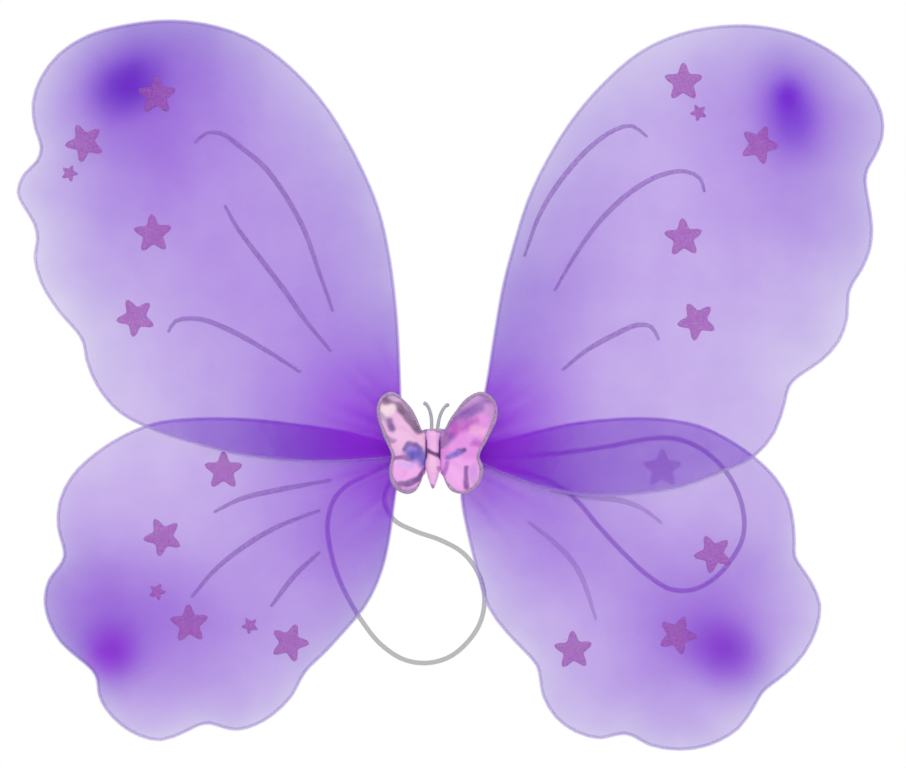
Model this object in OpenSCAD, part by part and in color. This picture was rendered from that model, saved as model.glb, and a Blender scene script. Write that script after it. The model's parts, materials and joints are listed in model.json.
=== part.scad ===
// Fairy wings for a child's costume: four wire frames in gathered nylon net sleeves, bound at the
// middle, with a padded satin butterfly in front, a felt pad behind and two elastic arm loops.
// Wings stand in the XZ plane. The origin is the middle of the back pad's flat face, +Y points
// into the wearer's back, and the decorated faces look along -Y.

/* [Wire frames] */
// Diameter of the steel wire round each wing
wire_d = 1.8; // [1.4:0.1:2.0]
// Longest straight stretch between two points of a wing's edge
edge_step = 9; // [7:1:14]

/* [Net sleeves] */
// Thickness of one layer of stretched nylon net
net_t = 0.25; // [0.15:0.05:0.3]
// Outside thickness of a sleeve, over its wire
sleeve_t = 2.5; // [2.5:0.1:2.6]
// Depth of the upper wings' middle plane in front of the pad's face
upper_depth = 12; // [12:0.5:12.5]
// Depth of the lower wings' middle plane in front of the pad's face
lower_depth = 8; // [7.8:0.1:8]

/* [Glitter] */
// Height of the glitter above the net
glitter_t = 0.35; // [0.2:0.05:0.5]
// Width of a glitter vein at its middle
vein_w = 2.8; // [1.6:0.2:3.6]
// Radius of a large star's points
star_r = 10.5; // [8:0.5:11]
// Radius of a small star's points
small_star_r = 4.6; // [3.5:0.1:5]

/* [Middle] */
// Length of the taped binding, along X
binding_w = 14; // [12:1:14]
// Height of the taped binding
binding_h = 15; // [15:1:18]
// Width of the back pad
pad_w = 30; // [26:1:30]
// Height of the back pad
pad_h = 22; // [20:1:26]
// Thickness of the back pad
pad_t = 2.5; // [1.5:0.5:2.5]
// Distance of each fold line from the middle
fold_x = 10; // [10:0.5:10.5]

/* [Ornament] */
// Angle by which the butterfly's wings stand forward of flat
ornament_rise = 14; // [12:1:18]
// Thickness of the butterfly's padded satin wings
ornament_t = 1.8; // [1.2:0.1:1.8]
// Half of the width of the butterfly's body
ornament_body_r = 4.2; // [3.4:0.1:4.2]
// How far right of the middle the butterfly's body is glued on
ornament_x = -2.2; // [-2.4:0.2:0]

/* [Arm loops] */
// Diameter of the round elastic
elastic_d = 2.5; // [2:0.1:2.5]
// Depth of the elastic's middle in front of the pad's face
elastic_depth = 4.2; // [4:0.1:4.3]

/* [Hidden] */

// Where every sleeve ends beside the fold line, and half of its height there
root_x = fold_x + 0.8;
neck = 3.45;
tie_w = 2;
tie_t = 0.6;
tie_gap = 0.15;
binding_t = 8;
binding_depth = (upper_depth + lower_depth) / 2;
tail_pitch = 3;
tail_gap = 0.05;
glue_h = 16;
elastic_z = [-4, -6.8];
elastic_out = pad_w / 2 + 1;
// Room for a loop's slanted end to swing past its root
elastic_joint_gap = 1.1;
loop_sides = 8;

ornament_hinge_x = 5.5;
ornament_depth = 16.3;
ornament_edge_x = 4.85;
glue_front_w = 4.4;
edging_w = 1.6;
edging_t = 0.4;
antenna_d = 1.8;
// Both antennae stand a little right of the body's middle and lean that way
antenna_shift = [0.9, 0, 0.25];
antenna_lean = 4;
bead_d = 2.2;

// Outside edge of each sleeve in X and Z, from the top of its neck round to the bottom. Three
// points close together make a notch between two scallops.
UPPER_LEFT = [
    [-root_x, neck], [-12.4, neck], [-14, neck + 0.1], [-17.5, 8], [-18.5, 20], [-19, 40],
    [-20.5, 70], [-24, 100], [-30, 127], [-41, 153], [-56, 179], [-72, 198], [-93, 215],
    [-115, 224], [-140, 227.5], [-165, 225], [-185, 219.5], [-200, 210], [-210, 197],
    [-214.5, 183], [-213, 169], [-210, 160], [-212, 153], [-219, 146], [-222.5, 136],
    [-219, 128], [-213.5, 119], [-212, 111], [-213.5, 102], [-210, 88], [-200, 72],
    [-191, 62], [-187.5, 56], [-186, 47], [-180, 33], [-168, 19], [-149, 9.5], [-125, 2],
    [-105, -3], [-80, -6], [-55, -6.5], [-32, -5], [-20, -neck - 0.4], [-14, -neck],
    [-12.4, -neck], [-root_x, -neck]
];
UPPER_RIGHT = [
    [root_x, neck], [12.4, neck], [14, neck + 0.1], [18, 8], [21.5, 18], [25, 33], [29, 58],
    [34, 87], [39.5, 108], [47, 132], [57, 153], [70, 174], [86, 193], [107, 211],
    [128, 220.5], [149, 224.5], [170, 224.5], [192, 219.5], [213, 208], [228, 193],
    [235.5, 178], [236, 165], [231.5, 154], [228, 148], [227, 142], [228.5, 132],
    [230.5, 118], [229.5, 106], [225, 95], [220.5, 88], [218, 82], [217.5, 70],
    [213, 57], [203, 46], [191, 38], [186.5, 33], [184.5, 25], [179, 9], [168, -4],
    [149, -13], [130, -20], [110, -23.5], [91, -25], [75, -24.5], [54, -20], [38, -14],
    [26, -9], [19, -5.2], [14, -neck], [12.4, -neck], [root_x, -neck]
];
LOWER_LEFT = [
    [-root_x, neck], [-12.4, neck], [-14, neck], [-20, 3.8], [-30, 5.5], [-46, 10], [-72, 14],
    [-99, 17], [-125, 17.5], [-149, 15], [-166, 8.5], [-181, -1], [-194, -13.5],
    [-200.5, -27], [-201.5, -41], [-199, -50], [-198, -56], [-200.5, -61], [-206, -68],
    [-208.5, -79], [-206.5, -90], [-200, -102], [-190, -111], [-183, -117],
    [-180.5, -122], [-180, -129], [-176, -137.5], [-168, -146], [-158, -152],
    [-146, -154.5], [-133, -150], [-126, -146.5], [-120.5, -145.5], [-114, -147.5],
    [-106, -149], [-96, -146.5], [-86, -140.5], [-76, -130.5], [-71, -121],
    [-67, -115.5], [-60, -109], [-48, -96], [-38, -84], [-31, -71], [-26.5, -57],
    [-23.5, -40], [-21.5, -24], [-19, -11], [-16.5, -5.2], [-14, -neck - 0.1],
    [-12.4, -neck], [-root_x, -neck]
];
LOWER_RIGHT = [
    [root_x, neck], [12.4, neck], [14, neck], [20, 3.8], [33, 5.5], [54, 11], [73, 15],
    [99, 17.5], [120, 17], [139, 13.5], [153, 7], [168, -3], [179, -13.5], [186.5, -26],
    [189.5, -40], [190, -50], [190, -56], [193, -61], [199, -70], [203.5, -82],
    [201.5, -95], [195, -108], [185, -119], [177, -125], [172.5, -129], [168.5, -136],
    [160, -148], [144, -157], [128, -159.5], [112, -157], [104, -152.5], [99, -151],
    [93, -152], [86, -153.5], [73, -150], [62, -142], [55, -130], [53.5, -121],
    [52, -114.5], [46, -107.5], [36, -97], [26, -83], [19.5, -61], [14.5, -40], [12, -25],
    [12.8, -14], [15, -8], [15.4, -5.5], [14.4, -neck - 0.35], [13.2, -neck],
    [12, -neck], [root_x, -neck]
];

// Stars: X, Z, and 1 for a large one or 0 for a small one
UPPER_LEFT_STARS = [[-148, 187, 1], [-186, 162, 1], [-194, 146, 0], [-150, 114, 1], [-159, 70, 1]];
UPPER_RIGHT_STARS = [[130, 194, 1], [138, 178, 0], [170, 161, 1], [130, 112, 1], [137, 68, 1]];
LOWER_LEFT_STARS = [
    [-113, -11, 1], [-145, -46, 1], [-148, -75, 0], [-131, -92, 1], [-99, -93, 0], [-78, -102, 1]
];
LOWER_RIGHT_STARS = [[119, -10, 1], [146, -55, 1], [127, -98, 1], [72, -106, 1]];

// Veins: the middle line of each, in X and Z
UPPER_LEFT_VEINS = [
    [[-128, 162], [-122, 167], [-114, 167], [-104, 160], [-90, 148], [-72, 120], [-62, 93], [-55, 73]],
    [[-112, 129], [-106, 118], [-91, 98], [-79, 82], [-70, 69], [-56, 52]],
    [[-142, 62], [-138, 68], [-125, 69], [-109, 63], [-91, 53], [-72, 41]]
];
UPPER_RIGHT_VEINS = [
    [[46, 102], [54, 124], [65, 142], [81, 160], [94, 169], [103, 171], [111, 165]],
    [[62, 84], [73, 103], [86, 121], [102, 136], [118, 145], [131, 147], [139, 143], [141, 136]],
    [[66, 42], [78, 52], [94, 61], [106, 66], [113, 65], [117, 58]]
];
LOWER_LEFT_VEINS = [
    [[-118, -33], [-104, -26], [-83, -21], [-56, -16]],
    [[-130, -78], [-117, -63], [-99, -49], [-83, -40], [-62, -32]],
    [[-88, -83], [-75, -66], [-62, -54]]
];
LOWER_RIGHT_VEINS = [
    [[60, -22], [80, -25], [98, -27], [110, -32], [119, -39]],
    [[48, -38], [62, -49], [73, -61], [79, -74], [84, -90]]
];

// Routes of the two arm loops in X and Z, from the upper root to the lower one
LEFT_LOOP = [
    [-16, -4], [-24, -7], [-36, -13], [-48, -19], [-55, -27], [-58, -39], [-57, -51], [-53, -66],
    [-47, -79], [-39, -92], [-30, -103], [-18, -111], [-6, -113], [6, -110], [16, -102], [23, -91],
    [25, -78], [22, -66], [14, -55], [2, -48], [-12, -43], [-23, -37], [-28, -27], [-24, -15],
    [-16, -6.8]
];
RIGHT_LOOP = [
    [16, -4], [30, -4], [50, -3], [72, -1], [92, 2], [110, 5.5], [125, 6], [137, 2], [148, -6],
    [157, -18], [162, -32], [162, -46], [156, -58], [147, -68], [136, -74], [124, -74],
    [112, -67], [98, -54], [85, -40], [74, -27], [63, -18.5], [48, -12.5], [30, -9], [16, -6.8]
];

// Outside edge of one butterfly wing, from the top of its root to the bottom, in X and Z, as it is
// when the body is in the middle
ORNAMENT_WING = [
    [ornament_edge_x, 8.5], [7.5, 13.5], [11.5, 20.5], [17, 27], [23, 30.5], [28.5, 28.5],
    [31.5, 23], [31, 16], [28, 8.5], [25.5, 3], [23.5, -1], [23, -4], [24.5, -8.5], [24, -15],
    [20.5, -20.5], [15, -23], [10, -21.5], [6.5, -17], [ornament_edge_x, -12]
];
// The butterfly's body from its top to its lowest point: height, and share of its largest half width
BODY = [
    [11.5, 0], [11, 0.5], [10, 0.76], [8, 0.88], [4.5, 0.8], [1, 0.64], [-1.5, 0.57], [-3.5, 0.74],
    [-6, 0.96], [-8.5, 1], [-12, 0.84], [-15.5, 0.58], [-18.5, 0.32], [-20, 0.14], [-20.5, 0]
];
ANTENNA = [[1.6, 11.5], [1.8, 14.5], [2.4, 18], [3.9, 21.8], [5.9, 23.9]];

// --- curves ---

// The point a share of the way along a smooth curve's middle stretch, from four points of the curve
function mixed(a, b, ta, tb, t) = (a * (tb - t) + b * (t - ta)) / (tb - ta);
function curve_point(a, b, c, d, share) =
    let (
        tb = sqrt(norm(b - a)), tc = tb + sqrt(norm(c - b)), td = tc + sqrt(norm(d - c)),
        t = tb + share * (tc - tb),
        ab = mixed(a, b, 0, tb, t), bc = mixed(b, c, tb, tc, t), cd = mixed(c, d, tc, td, t),
        abc = mixed(ab, bc, 0, tc, t), bcd = mixed(bc, cd, tb, td, t)
    )
    mixed(abc, bcd, tb, tc, t);

// A smooth curve through the points, in steps no longer than step and at least fewest to a stretch
function smooth_curve(points, step, fewest = 2) =
    let (
        last = len(points) - 1,
        p = concat([2 * points[0] - points[1]], points, [2 * points[last] - points[last - 1]])
    )
    concat(
        [
            for (i = [0:last - 1])
                let (n = max(fewest, ceil(norm(points[i + 1] - points[i]) / step)))
                    for (k = [0:n - 1]) curve_point(p[i], p[i + 1], p[i + 2], p[i + 3], k / n)
        ],
        [points[last]]
    );

function unit(v) = v / norm(v);
// How far, and which way, each point of a line moves when the line moves one unit to its left
function left_shift(points, i) =
    let (
        last = len(points) - 1,
        before = unit(points[max(i, 1)] - points[max(i, 1) - 1]),
        after = unit(points[min(i, last - 1) + 1] - points[min(i, last - 1)]),
        half = unit(before + after)
    )
    [-half[1], half[0]] / (half * after);
function beside(points, distance) =
    [for (i = [0:len(points) - 1]) points[i] + distance * left_shift(points, i)];
function reversed(list) = [for (i = [len(list) - 1:-1:0]) list[i]];

// A wing's smooth edge, and the same edge moved inwards: side is 1 where the wing lies on the left
// of the edge's direction and -1 where it lies on the right
function edge_of(points) = smooth_curve(points, edge_step);
function moved_in(points, side, distance) = beside(edge_of(points), side * distance);

// --- solids ---

// Turns a drawing in X and Z into a plate from depth far to depth near in front of the pad's face
module plate(far, near) {
    translate([0, -near, 0]) rotate([90, 0, 0]) linear_extrude(far - near) children();
}

// A round rod along a line in X and Z, at one depth
module rod(points, d, depth, sides = 8) {
    rings = [
        for (i = [0:len(points) - 1])
            let (shift = left_shift(points, i))
                for (k = [0:sides - 1])
                    let (turn = 360 * (k + 0.5) / sides, out = d / 2 * cos(turn))
                        [
                            points[i][0] + out * shift[0],
                            -depth + d / 2 * sin(turn),
                            points[i][1] + out * shift[1]
                        ]
    ];
    ends = len(points) - 1;
    walls = [
        for (i = [0:ends - 1])
            for (k = [0:sides - 1])
                let (a = i * sides + k, b = i * sides + (k + 1) % sides)
                    [b, b + sides, a + sides, a]
    ];
    caps = [
        [for (k = [sides - 1:-1:0]) k],
        [for (k = [0:sides - 1]) ends * sides + k]
    ];
    polyhedron(rings, concat(walls, caps), convexity = 12);
}

// --- wings ---

module wing_wire(points, side, depth) {
    color("silver") rod(moved_in(points, side, sleeve_t / 2), wire_d, depth);
}

module wing_net(points, side, depth) {
    hollow = moved_in(points, side, net_t);
    last = len(hollow) - 1;
    past_root = [-2 * sign(hollow[0][0]), 0];
    color([0.72, 0.6, 0.9]) difference() {
        plate(depth + sleeve_t / 2, depth - sleeve_t / 2) polygon(edge_of(points));
        plate(depth + sleeve_t / 2 - net_t, depth - sleeve_t / 2 + net_t)
            polygon(concat([hollow[0] + past_root], hollow, [hollow[last] + past_root]));
    }
}

// Thread wound round a sleeve's neck
module neck_tie(side, depth) {
    across = sleeve_t / 2 + tie_gap;
    up = neck + tie_gap + 0.1;
    color([0.5, 0.3, 0.7])
        translate([side * (root_x + 0.6) - (side < 0 ? tie_w : 0), -depth, 0])
            rotate([90, 0, 90]) linear_extrude(tie_w) difference() {
                square([2 * (across + tie_t), 2 * (up + tie_t)], center = true);
                square([2 * across, 2 * up], center = true);
            }
}

module star(r) {
    polygon([
        for (turn = [0:9:351])
            let (reach = r / (1 + 0.42 * (1 - cos(5 * turn)))) [reach * sin(turn), reach * cos(turn)]
    ]);
}

// Stars on a sleeve's front face, each turned a little further than the last
module stars(places, depth) {
    color([0.72, 0.4, 0.72]) for (i = [0:len(places) - 1])
        plate(depth + sleeve_t / 2 + glitter_t, depth + sleeve_t / 2)
            translate([places[i][0], places[i][1]])
                rotate(i * 25) star(places[i][2] == 1 ? star_r : small_star_r);
}

// A strip along a line, widest in the middle
module strip(points, width) {
    line = smooth_curve(points, 6);
    last = len(line) - 1;
    half = [for (i = [0:last]) width / 2 * (0.55 + 0.45 * sin(180 * i / last))];
    left = [for (i = [0:last]) line[i] + half[i] * left_shift(line, i)];
    right = [for (i = [0:last]) line[i] - half[i] * left_shift(line, i)];
    polygon(concat(left, reversed(right)));
}

module veins(lines, depth) {
    color([0.62, 0.42, 0.78]) for (line = lines)
        plate(depth + sleeve_t / 2 + glitter_t, depth + sleeve_t / 2) strip(line, vein_w);
}

// --- middle ---

module stadium(w, h) {
    long = abs(w - h) / 2;
    across = w > h ? [long, 0] : [0, long];
    for (s = [-1, 1]) translate(s * across) circle(d = min(w, h), $fn = 48);
    square(w > h ? [2 * long, h] : [w, 2 * long], center = true);
}

module back_pad() {
    color([0.86, 0.8, 0.9]) plate(pad_t, 0) stadium(pad_w, pad_h);
}

// Four wire ends a side, side by side in the tape
module tail_rods(first, d) {
    for (depth = [lower_depth, upper_depth])
        for (k = [0, 1])
            translate([-binding_w / 2, -depth, first + 2 * tail_pitch * k])
                rotate([0, 90, 0]) cylinder(d = d, h = binding_w, $fn = 24);
}
left_tail_z = -1.5 * tail_pitch;
right_tail_z = -0.5 * tail_pitch;

module left_wire_tails() {
    color("silver") tail_rods(left_tail_z, wire_d);
}
module right_wire_tails() {
    color("silver") tail_rods(right_tail_z, wire_d);
}

module binding_tape() {
    color([0.55, 0.35, 0.75]) difference() {
        translate([-binding_w / 2, -binding_depth, 0])
            rotate([90, 0, 90]) linear_extrude(binding_w) stadium(binding_t, binding_h);
        tail_rods(left_tail_z, wire_d + 2 * tail_gap);
        tail_rods(right_tail_z, wire_d + 2 * tail_gap);
    }
}

// Both strands of one arm loop where they lie sewn under the pad
module strands(side, d, from, to) {
    for (z = elastic_z)
        translate([side * from, -elastic_depth, z])
            rotate([0, side * 90, 0]) cylinder(d = d, h = to - from, $fn = 24);
}

module elastic_roots(side) {
    color([0.75, 0.75, 0.79]) strands(side, elastic_d, 1, elastic_out - elastic_joint_gap);
}

// Two bars of thread that hold the strands down, one on each side
module elastic_stitches() {
    low = elastic_z[1] - elastic_d / 2 - 1;
    high = elastic_z[0] + elastic_d / 2 + 1;
    color([0.9, 0.86, 0.94]) difference() {
        for (side = [-1, 1])
            translate([side * 10.5 - 0.75, -elastic_depth - elastic_d / 2 - 0.3, low])
                cube([1.5, elastic_depth + elastic_d / 2 + 0.3 - pad_t, high - low]);
        for (side = [-1, 1]) strands(side, elastic_d + 0.1, 1, elastic_out);
    }
}

module back_glue() {
    color([0.93, 0.93, 0.9]) difference() {
        plate(binding_depth - binding_t / 2, pad_t) stadium(binding_w, glue_h);
        for (side = [-1, 1]) strands(side, elastic_d + 0.1, 0.9, elastic_out);
    }
}

module front_glue() {
    color([0.93, 0.93, 0.9]) translate([ornament_x, 0, 0])
        plate(ornament_depth - ornament_t / 2, binding_depth + binding_t / 2)
            stadium(glue_front_w, glue_h);
}

// --- ornament ---

// Puts a drawing of one butterfly wing in place, as a plate between two heights over its middle
module risen(low, high) {
    translate([ornament_hinge_x, -ornament_depth, 0]) rotate([0, 0, -ornament_rise])
        rotate([90, 0, 0]) translate([0, 0, low]) linear_extrude(high - low) children();
}

// A butterfly wing's edge from its own hinge. It is stretched so that the risen wing still covers
// its width, and so that its tip stays in place when the body isn't in the middle.
function ornament_edge(side, inset) =
    let (
        reach = ORNAMENT_WING[6][0] - ornament_edge_x,
        wide = (1 - side * ornament_x / reach) / cos(ornament_rise),
        root = ornament_edge_x - ornament_hinge_x,
        local = [for (p = ORNAMENT_WING) [root + (p[0] - ornament_edge_x) * wide, p[1]]]
    )
    beside(smooth_curve(local, 4), -inset);

module beside_body(side) {
    translate([ornament_x, 0, 0]) {
        if (side < 0) mirror([1, 0, 0]) children();
        else children();
    }
}

module ornament_wing(side) {
    color([0.96, 0.7, 0.88]) beside_body(side)
        risen(-ornament_t / 2, ornament_t / 2) polygon(ornament_edge(side, 0));
}

// Glitter band round the wing's face, open along its root
module ornament_edging(side) {
    outer = ornament_edge(side, 0);
    inner = ornament_edge(side, edging_w);
    color([0.6, 0.35, 0.65]) beside_body(side)
        risen(ornament_t / 2, ornament_t / 2 + edging_t) polygon(concat(outer, reversed(inner)));
}

// Padded body, half-round in front: a short chest over a drop
module ornament_body() {
    back = ornament_depth - ornament_t / 2;
    outline = [for (p = reversed(BODY)) [ornament_body_r * p[1], p[0]]];
    color([0.95, 0.72, 0.88]) translate([ornament_x, 0, 0]) intersection() {
        translate([0, -back, 0]) rotate_extrude($fn = 40) polygon(outline);
        translate([-10, -back - 20, -30]) cube([20, 20, 60]);
    }
}

module ornament_antennae() {
    root_depth = ornament_depth + 1.6;
    line = smooth_curve(ANTENNA, 2);
    root = [ornament_x, 0, ANTENNA[0][1]];
    color([0.55, 0.45, 0.58]) translate(root + antenna_shift) rotate([0, antenna_lean, 0])
        translate(-root) for (side = [-1, 1]) beside_body(side) {
            rod(line, antenna_d, root_depth);
            translate([ANTENNA[4][0] + bead_d / 2 + 0.15, -root_depth, ANTENNA[4][1] + 0.3])
                sphere(d = bead_d, $fn = 24);
        }
}

// --- arm loops ---

module arm_loop(route) {
    color([0.75, 0.75, 0.79]) rod(smooth_curve(route, 9, 1), elastic_d, elastic_depth, loop_sides);
}

back_pad();
back_glue();
binding_tape();
left_wire_tails();
right_wire_tails();
front_glue();
elastic_roots(-1);  // left_elastic_roots
elastic_roots(1);  // right_elastic_roots
elastic_stitches();
wing_wire(UPPER_LEFT, 1, upper_depth);  // left_upper_wire
wing_net(UPPER_LEFT, 1, upper_depth);  // left_upper_net
neck_tie(-1, upper_depth);  // left_upper_tie
stars(UPPER_LEFT_STARS, upper_depth);  // left_upper_stars
veins(UPPER_LEFT_VEINS, upper_depth);  // left_upper_veins
wing_wire(LOWER_LEFT, 1, lower_depth);  // left_lower_wire
wing_net(LOWER_LEFT, 1, lower_depth);  // left_lower_net
neck_tie(-1, lower_depth);  // left_lower_tie
stars(LOWER_LEFT_STARS, lower_depth);  // left_lower_stars
veins(LOWER_LEFT_VEINS, lower_depth);  // left_lower_veins
wing_wire(UPPER_RIGHT, -1, upper_depth);  // right_upper_wire
wing_net(UPPER_RIGHT, -1, upper_depth);  // right_upper_net
neck_tie(1, upper_depth);  // right_upper_tie
stars(UPPER_RIGHT_STARS, upper_depth);  // right_upper_stars
veins(UPPER_RIGHT_VEINS, upper_depth);  // right_upper_veins
wing_wire(LOWER_RIGHT, -1, lower_depth);  // right_lower_wire
wing_net(LOWER_RIGHT, -1, lower_depth);  // right_lower_net
neck_tie(1, lower_depth);  // right_lower_tie
stars(LOWER_RIGHT_STARS, lower_depth);  // right_lower_stars
veins(LOWER_RIGHT_VEINS, lower_depth);  // right_lower_veins
ornament_body();
ornament_antennae();
ornament_wing(-1);  // ornament_left_wing
ornament_edging(-1);  // ornament_left_edging
ornament_wing(1);  // ornament_right_wing
ornament_edging(1);  // ornament_right_edging
arm_loop(LEFT_LOOP);  // left_arm_loop
arm_loop(RIGHT_LOOP);  // right_arm_loop
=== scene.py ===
"""Fairy wings: nylon net on wire frames, a satin butterfly and two elastic arm loops.

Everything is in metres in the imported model's frame: X across the wings, Z up, and the decorated
faces look along -Y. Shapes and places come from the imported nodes.
"""

import json
import math

import bpy
import numpy as np
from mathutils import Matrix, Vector
from mathutils.geometry import delaunay_2d_cdt


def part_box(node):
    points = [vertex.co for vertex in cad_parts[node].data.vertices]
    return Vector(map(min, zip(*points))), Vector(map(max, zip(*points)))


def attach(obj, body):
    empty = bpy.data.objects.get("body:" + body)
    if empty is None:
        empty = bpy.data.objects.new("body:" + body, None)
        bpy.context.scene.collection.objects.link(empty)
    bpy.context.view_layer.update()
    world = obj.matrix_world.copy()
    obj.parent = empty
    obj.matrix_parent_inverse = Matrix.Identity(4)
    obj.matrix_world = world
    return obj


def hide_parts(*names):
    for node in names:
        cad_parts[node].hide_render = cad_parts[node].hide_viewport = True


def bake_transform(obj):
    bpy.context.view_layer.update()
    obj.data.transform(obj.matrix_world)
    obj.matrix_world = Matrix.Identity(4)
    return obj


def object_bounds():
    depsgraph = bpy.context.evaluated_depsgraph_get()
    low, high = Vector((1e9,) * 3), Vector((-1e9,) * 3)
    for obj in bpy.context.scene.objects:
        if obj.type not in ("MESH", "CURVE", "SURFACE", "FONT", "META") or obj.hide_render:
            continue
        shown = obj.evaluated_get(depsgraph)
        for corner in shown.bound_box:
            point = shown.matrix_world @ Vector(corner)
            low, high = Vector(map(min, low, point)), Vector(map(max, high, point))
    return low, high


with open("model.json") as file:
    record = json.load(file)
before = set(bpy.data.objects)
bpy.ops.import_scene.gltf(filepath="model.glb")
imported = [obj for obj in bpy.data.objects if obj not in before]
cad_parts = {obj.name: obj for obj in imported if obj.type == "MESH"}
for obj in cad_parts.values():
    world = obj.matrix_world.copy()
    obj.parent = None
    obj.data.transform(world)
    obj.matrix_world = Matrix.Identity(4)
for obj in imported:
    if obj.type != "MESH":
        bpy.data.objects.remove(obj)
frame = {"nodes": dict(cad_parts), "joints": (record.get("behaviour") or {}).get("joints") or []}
CAD_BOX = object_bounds()
NODES = frame["nodes"]
MM = 0.001

SIDES = {"left": -1, "right": 1}

# Arm loops: the same routes as in part.scad, (X, Z) from the upper root to the lower one
ELASTIC_Y = -0.0042
ELASTIC_D = 0.0025
LEFT_LOOP = [
    (-0.016, -0.004), (-0.024, -0.007), (-0.036, -0.013), (-0.048, -0.019), (-0.055, -0.027),
    (-0.058, -0.039), (-0.057, -0.051), (-0.053, -0.066), (-0.047, -0.079), (-0.039, -0.092),
    (-0.030, -0.103), (-0.018, -0.111), (-0.006, -0.113), (0.006, -0.110), (0.016, -0.102),
    (0.023, -0.091), (0.025, -0.078), (0.022, -0.066), (0.014, -0.055), (0.002, -0.048),
    (-0.012, -0.043), (-0.023, -0.037), (-0.028, -0.027), (-0.024, -0.015), (-0.016, -0.0068),
]
RIGHT_LOOP = [
    (0.016, -0.004), (0.030, -0.004), (0.050, -0.003), (0.072, -0.001), (0.092, 0.002),
    (0.110, 0.0055), (0.125, 0.006), (0.137, 0.002), (0.148, -0.006), (0.157, -0.018),
    (0.162, -0.032), (0.162, -0.046), (0.156, -0.058), (0.147, -0.068), (0.136, -0.074),
    (0.124, -0.074), (0.112, -0.067), (0.098, -0.054), (0.085, -0.040), (0.074, -0.027),
    (0.063, -0.0185), (0.048, -0.0125), (0.030, -0.009), (0.016, -0.0068),
]

# --- lines ---


def smooth_curve(points, step):
    """A smooth curve through the points (rows of an array), in steps no longer than step."""
    p = np.asarray(points, float)
    p = np.vstack([2 * p[0] - p[1], p, 2 * p[-1] - p[-2]])
    out = []
    for a, b, c, d in zip(p, p[1:], p[2:], p[3:]):
        gaps = [math.sqrt(np.linalg.norm(v)) for v in (b - a, c - b, d - c)]
        t0, t1, t2, t3 = np.cumsum([0.0, *gaps])
        count = max(1, math.ceil(np.linalg.norm(c - b) / step))
        for t in t1 + (t2 - t1) * np.arange(count) / count:
            ab = (a * (t1 - t) + b * (t - t0)) / (t1 - t0)
            bc = (b * (t2 - t) + c * (t - t1)) / (t2 - t1)
            cd = (c * (t3 - t) + d * (t - t2)) / (t3 - t2)
            abc = (ab * (t2 - t) + bc * (t - t0)) / (t2 - t0)
            bcd = (bc * (t3 - t) + cd * (t - t1)) / (t3 - t1)
            out.append((abc * (t2 - t) + bcd * (t - t1)) / (t2 - t1))
    return np.vstack([*out, p[-2]])


def along(points):
    """How far along the line each point lies."""
    return np.concatenate([[0], np.cumsum(np.linalg.norm(np.diff(points, axis=0), axis=1))])


def resampled(points, step, closed=False):
    """The same line with points about step apart."""
    if closed:
        points = np.vstack([points, points[:1]])
    s = along(points)
    count = max(3, round(s[-1] / step))
    at = np.linspace(0, s[-1], count + 1)
    line = np.column_stack([np.interp(at, s, points[:, k]) for k in range(points.shape[1])])
    return line[:-1] if closed else line


def rounded_off(loop, passes):
    """A closed line with its small corners smoothed away."""
    for _ in range(passes):
        loop = 0.5 * loop + 0.25 * (np.roll(loop, 1, axis=0) + np.roll(loop, -1, axis=0))
    return loop


def outward(loop):
    """The outward normal at each point of a closed line that runs anticlockwise."""
    t = np.roll(loop, -1, axis=0) - np.roll(loop, 1, axis=0)
    n = np.column_stack([t[:, 1], -t[:, 0]])
    return n / np.linalg.norm(n, axis=1)[:, None]


def anticlockwise(loop):
    x, y = loop.T
    area = np.sum(x * np.roll(y, -1) - y * np.roll(x, -1))
    return loop if area > 0 else loop[::-1]


def nearest(points, line):
    """Each point's distance from the nearest point of a finely stepped line."""
    out = np.empty(len(points))
    for start in range(0, len(points), 2000):
        part = points[start : start + 2000]
        gap = part[:, None, :] - line[None, :, :]
        out[start : start + 2000] = np.sqrt((gap**2).sum(axis=2).min(axis=1))
    return out


def inside(points, loop):
    """Which of the points lie inside a closed line."""
    x, y = points[:, 0][:, None], points[:, 1][:, None]
    ax, ay = loop[:, 0][None], loop[:, 1][None]
    bx, by = np.roll(loop[:, 0], -1)[None], np.roll(loop[:, 1], -1)[None]
    crosses = (ay > y) != (by > y)
    with np.errstate(divide="ignore", invalid="ignore"):
        at = ax + (y - ay) * (bx - ax) / (by - ay)
    return (np.sum(crosses & (x < at), axis=1) % 2) == 1


def face_loops(node, normal):
    """The edges, as closed lines of 3-D points, of a node's outermost flat faces towards normal."""
    mesh = NODES[node].data
    normal = Vector(normal).normalized()
    facing = [p for p in mesh.polygons if p.normal.dot(normal) > 0.999]
    reach = max(p.center.dot(normal) for p in facing)
    facing = [p for p in facing if p.center.dot(normal) > reach - 0.02 * MM]
    place, edges = {}, {}
    for p in facing:
        keys = []
        for v in p.vertices:
            co = mesh.vertices[v].co
            key = tuple(round(c / (0.002 * MM)) for c in co)
            place[key] = np.array(co)
            keys.append(key)
        for a, b in zip(keys, keys[1:] + keys[:1]):
            if (b, a) in edges:
                del edges[(b, a)]
            else:
                edges[(a, b)] = True
    follow = {a: b for a, b in edges}
    loops = []
    while follow:
        start = min(follow)
        line, at = [], start
        while at in follow:
            line.append(place[at])
            at = follow.pop(at)
        loops.append(np.array(line))
    return loops


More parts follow.
